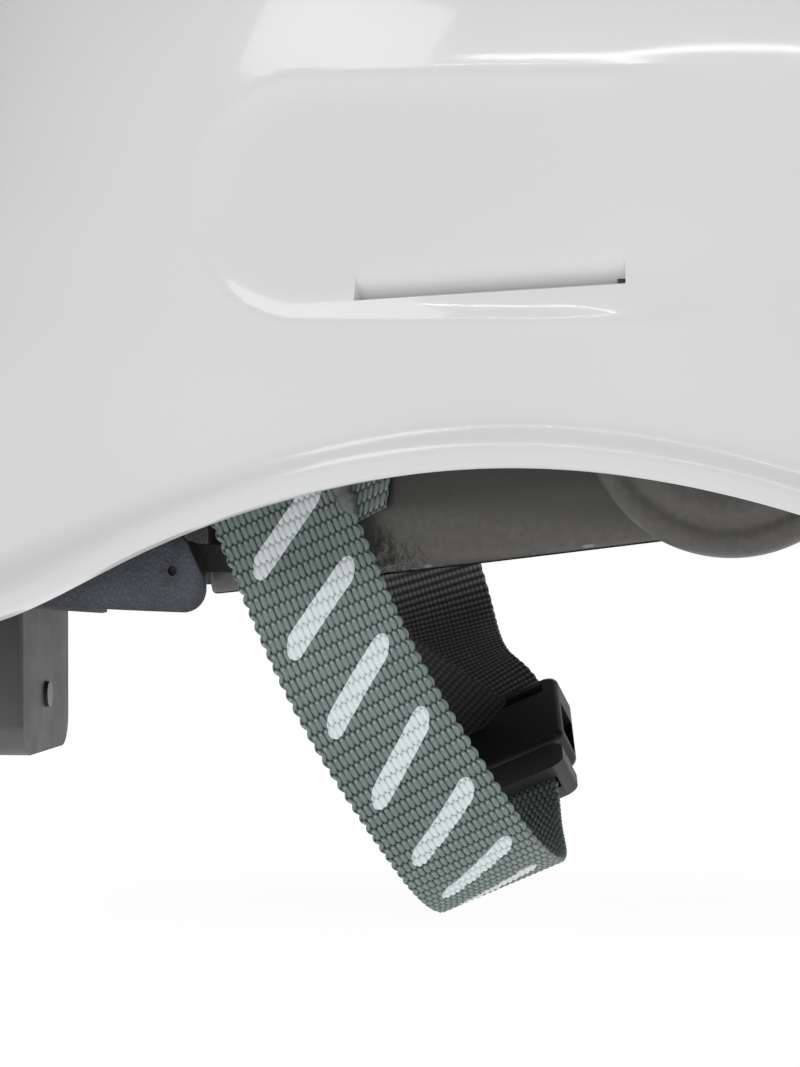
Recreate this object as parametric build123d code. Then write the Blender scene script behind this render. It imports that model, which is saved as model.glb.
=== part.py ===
from build123d import *
from math import atan2, cos, degrees, pi, radians, sin
import os

# Water sports helmet: moulded shell, foam liner, nape harness with a dial, and a buckled chin strap.
# +X is the wearer's front, +Y the wearer's left, +Z up. The origin is the centre of the head opening, on
# the symmetry plane, at the level where the shell is widest. Millimetres.

# Shell: two half-ellipses in plan joined by a straight barrel, under a crown turned from the same outline.
FRONT_X, REAR_X = 10.0, -15.0  # ends of the straight barrel
FRONT_A, REAR_A = 118.0, 120.0  # half-lengths of the front and rear half-ellipses
HALF_WIDTH = 106.0  # also the crown's radius about its lengthwise axis
CROWN_BASE = 16.0  # the walls are upright to this height and the crown turns over above it
SHELL_T = 3.5
WALL_DOWN = 75.0  # how far the straight lower walls run before they are trimmed
FLARE, BAND = 2.4, 12.0  # the rim stands this far proud over a band this tall
# The rim's height at stations along the side: brow, temple, ear arch, behind the ear, nape.
RIM = [(150, -27), (124, -30), (88, -43), (45, -34), (10, -26), (-20, -25.5), (-50, -31), (-81, -42),
       (-112, -55), (-134, -58), (-150, -58)]

# Side vents: a sunk panel with one long slot under a scooped floor.
PANEL_X, PANEL_Z, PANEL_L, PANEL_H, PANEL_DEPTH = -14.0, 23.0, 108.0, 44.0, 3.0
SLOT_L, SLOT_H, SLOT_X, SLOT_Z = 48.0, 6.0, -14.0, 8.0
VENT_L, VENT_W, VENT_Y = 34.0, 9.0, 27.0  # crown vents
VENT_XS = (-46.0, 40.0)

# Foam and pads, as distances inside the shell's outer face.
CROWN_IN = (4.0, 23.0)
LINER_LOW = -3.0  # the crown liner's lower face
BLOCK_IN = (22.0, 31.0)
BLOCK_TOP, BLOCK_LOW = -3.4, -49.0
PAD_T = 5.5
TEMPLE_X, TEMPLE_Z, TEMPLE_R, TEMPLE_FACE_R = 28.4, -14.0, 27.5, 20.5

# Chin strap, drawn upright and then leaned forward about the line through the two rivets.
WEB_W, WEB_T = 25.0, 1.6
WEB_UP = 6.0  # webbing above the rivet
LEG_L, LEG_W, LEG_T = 22.0, 16.0, 1.2  # the short front leg
LEG_X, LEG_Y, LEG_Z, LEG_TILT = -41.3, 83.9, -26.4, 39.0
LEG_REACH = 8.0  # from its middle to its rivet
STRAP_Y = 85.7  # centre of the webbing where it hangs from its rivet
LEAN = 23.5  # degrees forward
PIVOT_X, PIVOT_Z = -62.0, -13.65
RIVET_R = 2.5
DROP = 50.0  # from the rivet to where the webbing turns in under the jaw
LOW_Y, LOW_DROP = 4.0, 90.0  # lowest point of the loop
BUCKLE_T, BUCKLE_W = 8.0, 32.0
SOCKET_L, PLUG_BODY_L = 27.0, 9.0
PRONG_L, PRONG_SIDE = 15.0, 10.2

# Nape harness, as distances inside the shell's outer face.
STUD_X, STUD_Z, STUD_R = -74.0, -44.5, 1.8
STUD_END, PUNCH_R = 79.6, 0.9  # the pin's outer end, and the small hole in the leather over it
BAND_IN = (9.5, 12.3)
CRADLE_IN = (12.8, 16.0)
NAPE_PAD_IN = (16.2, 19.5)
BAND_FRONT, BAND_REAR, BAND_LOW, BAND_HIGH = -64.3, -104.0, -52.0, -37.0
BAND_SLANT = 8.0  # how much further back the upper corner of the band end is
CRADLE_FRONT, CRADLE_LOW, CRADLE_HIGH = -90.0, -53.0, -38.0
DIAL_X, DIAL_Z, DIAL_R, DIAL_T = -125.8, -72.0, 11.5, 5.4
HOUSING_X, HOUSING_T = -118.8, 8.0
TEETH, PITCH = 12, 2.4  # pinion teeth, and the racks' tooth spacing
PINION_R = TEETH * PITCH / (2 * pi)
RACK_L = 20.0
GAP = 0.3  # between pieces that only touch


def plan(inset):
    """The shell's outline in plan, moved in by inset."""
    across = HALF_WIDTH - inset
    front = EllipticalCenterArc((FRONT_X, 0), FRONT_A - inset, across, -90, arc_size=180)
    rear = EllipticalCenterArc((REAR_X, 0), REAR_A - inset, across, 90, arc_size=180)
    left = Line((FRONT_X, across), (REAR_X, across))
    right = Line((REAR_X, -across), (FRONT_X, -across))
    return make_face(Curve() + [front, left, rear, right])


def plan_wall(inset, low, high):
    return extrude(Pos(0, 0, low) * plan(inset), high - low)


def crown(inset):
    """The crown: the left half of the outline turned half a turn about the X axis."""
    across = HALF_WIDTH - inset
    front = EllipticalCenterArc((FRONT_X, 0), FRONT_A - inset, across, 0, arc_size=90)
    rear = EllipticalCenterArc((REAR_X, 0), REAR_A - inset, across, 90, arc_size=90)
    top = Line((FRONT_X, across), (REAR_X, across))
    axis = Line((REAR_X - REAR_A + inset, 0), (FRONT_X + FRONT_A - inset, 0))
    half = make_face(Curve() + [front, top, rear, axis])
    return Pos(0, 0, CROWN_BASE) * revolve(half, Axis.X, 180)


def dome(inset):
    """The whole closed head form: crown and straight lower wall."""
    return crown(inset) + plan_wall(inset, -WALL_DOWN, CROWN_BASE)


def side_prism(face, y_from=-160.0, y_to=160.0):
    """Extrudes a face drawn in X and Z across the helmet."""
    return extrude(Plane(origin=(0, y_from, 0), x_dir=(1, 0, 0), z_dir=(0, -1, 0)) * face, y_from - y_to)


def below_rim(raised=0.0):
    """Everything under the rim line, with the line moved up by raised."""
    points = [(x, z + raised) for x, z in RIM]
    (x0, z0), (x1, z1) = points[0], points[-1]
    bottom = -200
    edges = Spline(*points) + Polyline((x1, z1), (x1, bottom), (x0, bottom), (x0, z0))
    return side_prism(make_face(edges))


def panel_outline(shrink=0.0):
    return Pos(PANEL_X, PANEL_Z) * RectangleRounded(
        PANEL_L - 2 * shrink, PANEL_H - 2 * shrink, PANEL_H / 2 - shrink - 0.2)


def outer_shell():
    body = dome(0)
    rim = plan_wall(-FLARE, -WALL_DOWN, 0) & below_rim(BAND)
    body = body + rim - dome(SHELL_T) - below_rim()
    sunk = side_prism(panel_outline()) - dome(PANEL_DEPTH * 0.6)
    body -= sunk
    slot = Pos(SLOT_X, SLOT_Z) * Rectangle(SLOT_L, SLOT_H)
    body -= side_prism(slot)
    for x in VENT_XS:
        for y in (-VENT_Y, VENT_Y):
            body -= extrude(Pos(x, y, 40) * SlotOverall(VENT_L, VENT_W), 120)
    return body


def crown_liner():
    body = dome(CROWN_IN[0]) - dome(CROWN_IN[1])
    body -= Pos(0, 0, LINER_LOW - 50) * Box(500, 500, 100)
    body -= Pos(PIVOT_X, 0, LINER_LOW) * Box(38, 400, 12)  # room for the strap ends to swing
    slot = Pos(SLOT_X, SLOT_Z) * Rectangle(SLOT_L, SLOT_H + 2)
    body -= side_prism(slot)
    for x in VENT_XS:
        for y in (-VENT_Y, VENT_Y):
            body -= extrude(Pos(x, y, 30) * SlotOverall(VENT_L - 4, VENT_W - 2), 120)
    return body


def block_ring():
    return plan_wall(BLOCK_IN[0], BLOCK_LOW, BLOCK_TOP) - plan_wall(BLOCK_IN[1], BLOCK_LOW, BLOCK_TOP)


def side_block(side):
    """The liner block that hangs beside the ear; its lower edge climbs towards the front."""
    trim = make_face(Polyline((-70, 0), (-70, -49.5), (17, -38.5), (17, 0), close=True))
    keep = side_prism(trim, 0, side * 150) if side > 0 else side_prism(trim, -150, 0)
    return block_ring() & keep


def front_block():
    trim = Pos(90, -20) * Rectangle(145, 32.6)
    return block_ring() & side_prism(trim) & Pos(120, 0, -20) * Box(205, 300, 60)


def rear_block():
    trim = Pos(-115, -14.7) * Rectangle(89, 22.6)
    return block_ring() & side_prism(trim)


def temple_pad(side):
    """A round pad outside the side block with a raised, smaller face."""
    base = Pos(TEMPLE_X, side * 88.0, TEMPLE_Z) * Rot(90, 0, 0) * Cylinder(TEMPLE_R, 6)
    face = Pos(TEMPLE_X, side * 92.0, TEMPLE_Z) * Rot(90, 0, 0) * Cylinder(TEMPLE_FACE_R, 2)
    above_block = Pos(TEMPLE_X, side * 90, 20 + BLOCK_TOP) * Box(80, 30, 40)
    return base + face - above_block


def crown_pad():
    """Soft pad under the crown, an X of two strips."""
    skin = crown(CROWN_IN[1] + GAP) - crown(CROWN_IN[1] + PAD_T)
    strip = Pos(0, 0, 100) * Box(120, 26, 120)
    return skin & (Rot(0, 0, 40) * strip + Rot(0, 0, -40) * strip)


def lean(shape):
    """Leans a shape that was drawn upright, about the rivet line."""
    return Pos(PIVOT_X, 0, PIVOT_Z) * Rot(0, -LEAN, 0) * shape


def ribbon(points):
    """A strip of webbing that follows a smooth line through (y, z) points, width across X."""
    line = Spline(*points) if len(points) > 2 else Line(*points)
    start = line @ 0
    tangent = line % 0
    section = Plane(origin=start, x_dir=(-tangent.Y, tangent.X, 0), z_dir=tangent) * Rectangle(WEB_T, WEB_W)
    strip = sweep(section, path=line)
    return Plane(origin=(0, 0, 0), x_dir=(0, 1, 0), z_dir=(1, 0, 0)) * strip


# The buckle's own line: along the strap on the wearer's left, rising from the lowest point to the rivet.
BEND_Y, BEND_Z = STRAP_Y, -DROP
RISE = degrees(atan2(BEND_Z + LOW_DROP, BEND_Y - LOW_Y))
ALONG = (cos(radians(RISE)), sin(radians(RISE)))


def on_left(distance):
    """A point this far up the left-hand strap from the loop's lowest point, as (y, z)."""
    return LOW_Y + ALONG[0] * distance, -LOW_DROP + ALONG[1] * distance


PLUG_AT, SOCKET_AT = 6.0, 16.0  # where the plug body and the socket start on that line
SOCKET_END = SOCKET_AT + SOCKET_L


def on_buckle(shape):
    """Puts a shape drawn with X along the strap, Y across it and Z out of it onto the buckle's line."""
    y, z = on_left(0)
    frame = Plane(origin=(0, y, z), x_dir=(0, *ALONG), z_dir=(0, ALONG[1], -ALONG[0]))
    return lean(frame * shape)


def rivet_hole(side):
    return Pos(0, side * STRAP_Y, 0) * Rot(90, 0, 0) * Cylinder(RIVET_R + 0.05, 8)


def chin_web_right():
    """Printed webbing from the right rivet, under the chin, to the plug's bar."""
    hang = Pos(0, -STRAP_Y, (WEB_UP - DROP + 3) / 2) * Box(WEB_W, WEB_T, WEB_UP + DROP - 3)
    end_y, end_z = on_left(PLUG_AT + 1.5)
    turn = ribbon([(-STRAP_Y, -DROP + 3.2), (-84, -62), (-79, -78), (-68, -91), (-52, -97.5), (-34, -98.5),
                   (-14, -95), (LOW_Y, -LOW_DROP), (end_y, end_z)])
    return lean(hang + turn - rivet_hole(-1))


def chin_web_left():
    """Plain webbing from the left rivet down to the inside of the socket's ladder bars."""
    hang = Pos(0, STRAP_Y, (WEB_UP - DROP) / 2) * Box(WEB_W, WEB_T, WEB_UP + DROP)
    end = SOCKET_END - 3.0
    y, z = on_left(end)
    run = ribbon([(y, z), (BEND_Y, BEND_Z + 0.2)])
    return lean(hang + run - rivet_hole(1))


def web_tail():
    """The loose end that comes back out of the ladder bars inside the loop."""
    y, z = on_left(SOCKET_END + 3.0)
    return lean(ribbon([(y - 5.5, z + 5.5), (y - 16, z + 15), (y - 34, z + 21), (y - 55, z + 24)]))


def buckle_socket():
    body = Pos(SOCKET_AT + SOCKET_L / 2, 0, 0) * extrude(
        Pos(0, 0, -BUCKLE_T / 2) * RectangleRounded(SOCKET_L, BUCKLE_W, 3), BUCKLE_T)
    body = fillet(body.edges().filter_by(GeomType.LINE).group_by(SortBy.LENGTH)[-1], 1.2)
    cavity_l = 18.0
    body -= Pos(SOCKET_AT + cavity_l / 2 - 0.01, 0, 0) * Box(cavity_l, BUCKLE_W - 4, BUCKLE_T - 3.2)
    for side in (-1, 1):
        body -= Pos(SOCKET_AT + 10, side * BUCKLE_W / 2, 0) * Box(13, 8, BUCKLE_T - 2.6)
    # The ladder bars: a channel for the webbing, open at the top end, and one slot on the inner face.
    channel_l = SOCKET_L - cavity_l + 2
    body -= Pos(SOCKET_AT + cavity_l - 1 + channel_l / 2, 0, 0) * Box(channel_l, WEB_W + 1, WEB_T + 0.8)
    body -= Pos(SOCKET_END - 4.2, 0, -BUCKLE_T / 2) * Box(3.0, WEB_W + 1, BUCKLE_T)
    return on_buckle(body)


def buckle_plug():
    body = Pos(PLUG_AT + PLUG_BODY_L / 2, 0, 0) * Box(PLUG_BODY_L, BUCKLE_W - 1, BUCKLE_T - 1)
    body = fillet(body.edges().filter_by(Axis.Z), 2.5)
    body -= Pos(PLUG_AT + 3, 0, 0) * Box(6.4, WEB_W + 1, WEB_T + 0.7)
    tongue = Pos(PLUG_AT + PLUG_BODY_L + 6.5, 0, 0) * Box(14, 7, 4.2)
    # Two ears with pins that carry the prongs.
    for side in (-1, 1):
        body -= Pos(PLUG_AT + PLUG_BODY_L - 1, side * PRONG_SIDE, 0) * Box(4.6, 5.4, 4.6)
        body += Pos(PLUG_AT + PLUG_BODY_L - 1, side * PRONG_SIDE, 0) * Cylinder(0.8, BUCKLE_T - 1.2)
    return on_buckle(body + tongue)


def buckle_prong(side):
    """One springy arm with a barb that shows in the socket's side window."""
    root = PLUG_AT + PLUG_BODY_L - 1
    tip = root + PRONG_L
    arm = make_face(Polyline((root - 1.4, -1.4), (root + 9, -0.6), (tip, -1.6), (tip, 1.2), (tip - 3, 4.0),
                             (tip - 6.5, 5.4), (root + 5.0, 1.6), (root - 1.4, 1.4), close=True))
    arm = extrude(Pos(0, 0, -2.0) * arm, 4.0) - Pos(root, 0, 0) * Cylinder(0.85, 8)
    arm = arm if side > 0 else mirror(arm, about=Plane.XZ)
    return on_buckle(Pos(0, side * PRONG_SIDE, 0) * arm)


def strap_leg(side):
    """The short front leg, running up and forward beside the liner to its own rivet."""
    hole = Pos(LEG_REACH, 0, 0) * Rot(90, 0, 0) * Cylinder(RIVET_R + 0.05, 8)
    leg = Box(LEG_L, LEG_T, LEG_W) - hole
    return Pos(LEG_X, side * LEG_Y, LEG_Z) * Rot(0, -LEG_TILT, 0) * leg


def strap_keeper(side):
    """A clear clip around the main webbing's front edge that holds the front leg in line."""
    clip = Box(7, WEB_T + 0.8, 10) - Pos(-1.5, 0, 0) * Box(7, WEB_T + 0.1, 11)
    return lean(Pos(WEB_W / 2 - 2, side * STRAP_Y, -24) * clip)


def rivet(x, z, side, y_in, y_out, shank_r):
    """A flanged rivet lying along Y between two distances from the symmetry plane."""
    length = y_out - y_in
    shank = Pos(0, side * (y_in + length / 2), 0) * Rot(90, 0, 0) * Cylinder(shank_r, length)
    head = Pos(0, side * (y_out + 0.4), 0) * Rot(90, 0, 0) * Cylinder(shank_r + 1.5, 0.8)
    return Pos(x, 0, z) * (shank + head)


def web_rivet(side):
    """The rivet that the main webbing turns on, with its base disc bonded to the side block."""
    foot = Pos(PIVOT_X, side * (STRAP_Y - 7.5), PIVOT_Z) * Rot(90, 0, 0) * Cylinder(8, 12.6)
    return rivet(PIVOT_X, PIVOT_Z, side, STRAP_Y - 4, STRAP_Y + 1.0, RIVET_R) + foot - block_ring()


def leg_rivet(side):
    """The front leg's rivet and its base disc."""
    x = LEG_X + LEG_REACH * cos(radians(LEG_TILT))
    z = LEG_Z + LEG_REACH * sin(radians(LEG_TILT))
    foot = Pos(x, side * (LEG_Y - LEG_T / 2 - 1.5), z) * Rot(90, 0, 0) * Cylinder(6, 3.0)
    return rivet(x, z, side, LEG_Y - 3, LEG_Y + LEG_T / 2, RIVET_R) + foot - block_ring()


def ring(insets, x_low, x_high, z_low, z_high):
    """Part of a wall that follows the shell, between two distances inside it."""
    wall = plan_wall(insets[0], z_low, z_high) - plan_wall(insets[1], z_low, z_high)
    return wall & Pos((x_low + x_high) / 2, 0, (z_low + z_high) / 2) * Box(x_high - x_low, 400, 200)


def one_side(shape, side):
    return shape & Pos(0, side * 200, 0) * Box(800, 400, 400)


def stud_hole(side, radius, y_end):
    """A hole along Y at the stud, from inside the band out to y_end."""
    return Pos(STUD_X, side * (y_end - 15), STUD_Z) * Rot(90, 0, 0) * Cylinder(radius, 30)


def band_outline(shrink):
    """The band end in X and Z: its front edge leans with the webbing, with rounded corners."""
    low, high, front = BAND_LOW + shrink, BAND_HIGH - shrink, BAND_FRONT - shrink
    outline = make_face(Polyline((-150, low), (front, low), (front - BAND_SLANT, high), (-150, high),
                                 close=True))
    corners = outline.vertices().sort_by(Axis.X)[-2:]
    return side_prism(fillet(corners, 4.5))


def nape_band(side):
    """The firm band end that turns on its stud."""
    middle = (BAND_IN[0] + BAND_IN[1]) / 2
    wall = one_side(ring((middle, BAND_IN[1]), BAND_REAR, BAND_FRONT, BAND_LOW, BAND_HIGH), side)
    return (wall & band_outline(1.0)) - stud_hole(side, STUD_R + 0.05, 90)


def band_cover(side):
    """The leather facing on the band end, with a small punched hole over the stud."""
    middle = (BAND_IN[0] + BAND_IN[1]) / 2
    face = one_side(ring((BAND_IN[0], middle - 0.05), BAND_REAR, BAND_FRONT, BAND_LOW, BAND_HIGH), side)
    pocket = stud_hole(side, STUD_R + 0.05, STUD_END + 0.2)
    return (face & band_outline(0)) - stud_hole(side, PUNCH_R, 90) - pocket


def nape_cradle():
    """The rear cradle with the dial's housing hanging under its middle."""
    body = ring(CRADLE_IN, -140, CRADLE_FRONT, CRADLE_LOW, CRADLE_HIGH)
    housing = Pos(HOUSING_X, 0, DIAL_Z + 7) * Box(HOUSING_T, 42, 36)
    housing = fillet(housing.edges().filter_by(Axis.X), 6)
    housing -= Pos(HOUSING_X, 0, DIAL_Z) * Box(4.0, 36, 16)
    housing -= Pos(HOUSING_X, 0, DIAL_Z) * Rot(0, 90, 0) * Cylinder(2.55, 20)
    return body + housing


def nape_pad(side):
    """Soft pad inside the cradle, beside the dial's housing."""
    return one_side(ring(NAPE_PAD_IN, -113.5, CRADLE_FRONT, CRADLE_LOW - 1, CRADLE_HIGH + 1), side)


def across_x(x, length, radius, y=0.0, z=DIAL_Z):
    """A cylinder lying along X."""
    return Pos(x, y, z) * Rot(0, 90, 0) * Cylinder(radius, length)


def dial_knob():
    knob = across_x(DIAL_X, DIAL_T, DIAL_R)
    knob = fillet(knob.edges().group_by(Axis.X)[0], 1.5)
    for i in range(12):
        turn = radians(30 * i)
        knob -= across_x(DIAL_X, DIAL_T + 2, 1.4, DIAL_R * sin(turn), DIAL_Z + DIAL_R * cos(turn))
    return knob - across_x(DIAL_X, 20, 2.5)


def dial_pinion():
    """The dial's shaft with a toothed pinion between the racks."""
    body = across_x(-121.2, 14.4, 2.5) + across_x(HOUSING_X, 3.4, PINION_R - 0.7)
    tooth = Polyline((0, -0.5), (PINION_R - 1.0, -0.5), (PINION_R + 0.5, -0.25), (PINION_R + 0.5, 0.25),
                     (PINION_R - 1.0, 0.5), (0, 0.5), close=True)
    tooth = Rot(0, 90, 0) * Pos(0, 0, -1.7) * extrude(make_face(tooth), 3.4)
    for i in range(TEETH):
        body += Pos(HOUSING_X, 0, DIAL_Z) * Rot(360 * (i + 0.5) / TEETH, 0, 0) * tooth
    return body


def rack(side):
    """A straight rack, above or below the pinion, in mesh with it at rest."""
    bar = Box(3.2, RACK_L, 1.8)
    tooth = make_face(Polyline((-0.55, 0), (0.55, 0), (0.3, 1.2), (-0.3, 1.2), close=True))
    tooth = Plane(origin=(-1.6, 0, -0.9), x_dir=(0, 1, 0), z_dir=(1, 0, 0)) * Rot(180, 0, 0) * tooth
    for i in range(-3, 4):
        bar += Pos(0, i * PITCH, 0) * extrude(tooth, 3.2, dir=(1, 0, 0))
    bar = bar if side > 0 else mirror(bar, about=Plane.XY)
    return Pos(HOUSING_X, 0, DIAL_Z + side * (PINION_R + 1.6)) * bar


def stud(side):
    """The pin the nape band turns on, standing out from the side of the liner on its foot."""
    pin = Pos(0, side * (STUD_END - 2.6), 0) * Rot(90, 0, 0) * Cylinder(STUD_R, 5.2)
    foot = Pos(0, side * 71.0, 0) * Rot(90, 0, 0) * Cylinder(5, 8)
    arm = Pos(8, side * 71.5, 2) * Box(20, 6, 5)
    return Pos(STUD_X, 0, STUD_Z) * (pin + foot + arm) - block_ring()


def write_all():
    os.makedirs("parts", exist_ok=True)
    parts = {
        "outer_shell": outer_shell(),
        "crown_liner": crown_liner(),
        "front_liner": front_block(),
        "rear_liner": rear_block(),
        "crown_pad": crown_pad(),
        "forehead_pad": ring((BLOCK_IN[1] + GAP, BLOCK_IN[1] + PAD_T), 55, 130, -32, -8),
        "chin_web_right": chin_web_right(),
        "chin_web_left": chin_web_left(),
        "web_tail": web_tail(),
        "buckle_socket": buckle_socket(),
        "buckle_plug": buckle_plug(),
        "prong_front": buckle_prong(1),
        "prong_rear": buckle_prong(-1),
        "nape_cradle": nape_cradle(),
        "dial_knob": dial_knob(),
        "dial_pinion": dial_pinion(),
        "rack_upper": rack(1),
        "rack_lower": rack(-1),
    }
    for name, side in (("right", -1), ("left", 1)):
        parts["side_liner_" + name] = side_block(side)
        parts["temple_pad_" + name] = temple_pad(side)
        parts["strap_leg_" + name] = strap_leg(side)
        parts["strap_keeper_" + name] = strap_keeper(side)
        parts["web_rivet_" + name] = web_rivet(side)
        parts["leg_rivet_" + name] = leg_rivet(side)
        parts["nape_band_" + name] = nape_band(side)
        parts["band_cover_" + name] = band_cover(side)
        parts["nape_stud_" + name] = stud(side)
        parts["nape_pad_" + name] = nape_pad(side)
    for name, shape in parts.items():
        export_step(shape, f"parts/{name}.step")


write_all()
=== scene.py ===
import bpy
import bmesh
import math
import numpy as np
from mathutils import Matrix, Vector

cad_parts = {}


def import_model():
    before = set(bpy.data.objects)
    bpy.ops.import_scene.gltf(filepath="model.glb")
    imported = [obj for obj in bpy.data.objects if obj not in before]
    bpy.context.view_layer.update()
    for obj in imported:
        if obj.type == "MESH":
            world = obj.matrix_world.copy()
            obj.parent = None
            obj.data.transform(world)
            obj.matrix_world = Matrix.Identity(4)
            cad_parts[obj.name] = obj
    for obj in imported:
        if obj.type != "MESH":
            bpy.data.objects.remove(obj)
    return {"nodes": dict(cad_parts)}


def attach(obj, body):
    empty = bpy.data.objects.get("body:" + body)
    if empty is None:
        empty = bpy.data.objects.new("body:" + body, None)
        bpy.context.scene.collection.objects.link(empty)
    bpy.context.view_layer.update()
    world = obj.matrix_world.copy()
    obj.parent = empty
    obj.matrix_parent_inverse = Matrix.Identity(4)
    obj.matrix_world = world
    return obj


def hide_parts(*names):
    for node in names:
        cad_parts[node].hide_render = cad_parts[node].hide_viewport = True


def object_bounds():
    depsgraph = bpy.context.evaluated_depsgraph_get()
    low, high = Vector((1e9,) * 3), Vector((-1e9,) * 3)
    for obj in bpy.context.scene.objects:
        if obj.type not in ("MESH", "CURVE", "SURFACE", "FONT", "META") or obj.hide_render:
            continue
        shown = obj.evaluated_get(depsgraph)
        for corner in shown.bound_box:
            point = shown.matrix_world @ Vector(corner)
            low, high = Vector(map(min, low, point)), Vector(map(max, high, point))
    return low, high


# Looks for the water helmet: its shell, foam, pads and webbing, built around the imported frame. Shapes are
# drawn in millimetres and turned into metres in add(). Material distances and the studio are in metres.

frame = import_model()
CAD_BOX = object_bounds()
MM = 0.001

# ---------------------------------------------------------------- node materials


class Look:
    """A node material under construction, in object coordinates."""

    def __init__(self, name, rough=0.5, **inputs):
        self.m = bpy.data.materials.new(name)
        self.m.use_nodes = True
        self.nt = self.m.node_tree
        self.nt.nodes.clear()
        self.out = self.node("ShaderNodeOutputMaterial")
        self.b = self.node("ShaderNodeBsdfPrincipled")
        self.b.inputs["Roughness"].default_value = rough
        for key, value in inputs.items():
            self.b.inputs[key.replace("_", " ")].default_value = value
        self.link(self.b, 0, self.out, 0)
        self.co = self.node("ShaderNodeTexCoord")

    def node(self, kind, **props):
        n = self.nt.nodes.new(kind)
        for key, value in props.items():
            setattr(n, key, value)
        return n

    def link(self, a, out, b, inp):
        self.nt.links.new(a.outputs[out], b.inputs[inp])

    def noise(self, scale, detail=3.0, stretch=None):
        n = self.node("ShaderNodeTexNoise")
        n.inputs["Scale"].default_value = scale
        n.inputs["Detail"].default_value = detail
        self.coords(n, stretch)
        return n

    def voronoi(self, scale, feature="F1", stretch=None):
        n = self.node("ShaderNodeTexVoronoi", feature=feature)
        n.inputs["Scale"].default_value = scale
        self.coords(n, stretch)
        return n

    def coords(self, n, stretch):
        if stretch is None:
            self.link(self.co, "Object", n, "Vector")
            return
        m = self.node("ShaderNodeMapping")
        m.inputs["Scale"].default_value = stretch
        self.link(self.co, "Object", m, 0)
        self.link(m, 0, n, "Vector")

    def ramp(self, source, out, stops):
        r = self.node("ShaderNodeValToRGB")
        while len(r.color_ramp.elements) < len(stops):
            r.color_ramp.elements.new(0.5)
        for e, (pos, col) in zip(r.color_ramp.elements, stops):
            e.position = pos
            e.color = (*col, 1) if len(col) == 3 else col
        self.link(source, out, r, 0)
        return r

    def mix(self, fac, fac_out, a, b, blend="MIX"):
        """Mixes two colours or node outputs; a and b are (node, output) or an RGB triple."""
        n = self.node("ShaderNodeMix", data_type="RGBA", blend_type=blend)
        if fac is None:
            n.inputs[0].default_value = fac_out
        else:
            self.link(fac, fac_out, n, 0)
        for slot, source in ((6, a), (7, b)):
            if isinstance(source[0], (int, float)):
                n.inputs[slot].default_value = (*source, 1)
            else:
                self.link(source[0], source[1], n, slot)
        return n

    def math(self, op, a, b=0.0, out_a=0, out_b=0):
        n = self.node("ShaderNodeMath", operation=op)
        for slot, source, out in ((0, a, out_a), (1, b, out_b)):
            if isinstance(source, (int, float)):
                n.inputs[slot].default_value = source
            else:
                self.link(source, out, n, slot)
        return n

    def bump(self, source, out, distance, strength=1.0):
        n = self.node("ShaderNodeBump")
        n.inputs["Distance"].default_value = distance
        n.inputs["Strength"].default_value = strength
        self.link(source, out, n, "Height")
        last = self.b.inputs["Normal"].links
        if last:
            self.nt.links.new(last[0].from_socket, n.inputs["Normal"])
        self.link(n, 0, self.b, "Normal")

    def rough(self, source, out, low, high):
        r = self.node("ShaderNodeMapRange")
        r.inputs["To Min"].default_value = low
        r.inputs["To Max"].default_value = high
        self.link(source, out, r, "Value")
        self.link(r, 0, self.b, "Roughness")

    def edges(self, low=0.5, high=0.62):
        """Bright where the surface is a convex edge: wear."""
        g = self.node("ShaderNodeNewGeometry")
        return self.ramp(g, "Pointiness", [(low, (0, 0, 0)), (high, (1, 1, 1))])


def shell_look():
    """Gloss white moulding with faint clouding, specks and scuffs."""
    k = Look("shell_white", 0.32, Coat_Weight=0.5, Coat_Roughness=0.07)
    cloud = k.noise(9, 2)
    base = k.ramp(cloud, "Fac", [(0.3, (0.68, 0.684, 0.684)), (0.7, (0.715, 0.718, 0.718))])
    speck = k.ramp(k.voronoi(420), "Distance", [(0.02, (0.6, 0.6, 0.58)), (0.06, (1, 1, 1))])
    tint = k.mix(None, 0.25, (base, 0), (speck, 0), "MULTIPLY")
    worn = k.mix(k.edges(0.54, 0.66), 0, (tint, 2), (0.76, 0.76, 0.75))
    k.link(worn, 2, k.b, "Base Color")
    scuff = k.noise(60, 5, (1, 1, 0.12))
    k.rough(scuff, "Fac", 0.26, 0.40)
    k.bump(k.noise(190, 2), "Fac", 0.00003, 0.2)
    k.bump(scuff, "Fac", 0.00003, 0.15)
    return k.m


def plastic_look(name, dark, light, rough):
    """Moulded plastic: cloudy colour, a fine grain and lighter worn edges."""
    k = Look(name, rough, Specular_IOR_Level=0.45)
    base = k.ramp(k.noise(45, 4), "Fac", [(0.3, dark), (0.7, light)])
    worn = k.mix(k.edges(), 0, (base, 0), tuple(min(1, 2.6 * c + 0.02) for c in light))
    k.link(worn, 2, k.b, "Base Color")
    k.rough(k.noise(160, 4), "Fac", rough - 0.1, rough + 0.12)
    k.bump(k.noise(900, 3), "Fac", 0.00006, 0.6)
    return k.m


def bead_look():
    """Moulded bead foam, dark in the seams between its beads."""
    k = Look("bead_foam", 0.62, Specular_IOR_Level=0.35)
    cells = k.voronoi(260, "DISTANCE_TO_EDGE")
    seams = k.ramp(cells, "Distance", [(0.0, (0.012, 0.012, 0.012)), (0.12, (0.05, 0.05, 0.052))])
    shade = k.mix(None, 0.5, (seams, 0), (k.voronoi(260), "Color"), "SOFT_LIGHT")
    k.link(shade, 2, k.b, "Base Color")
    k.bump(cells, "Distance", 0.0006, 0.7)
    k.rough(k.noise(200), "Fac", 0.5, 0.75)
    return k.m


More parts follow.
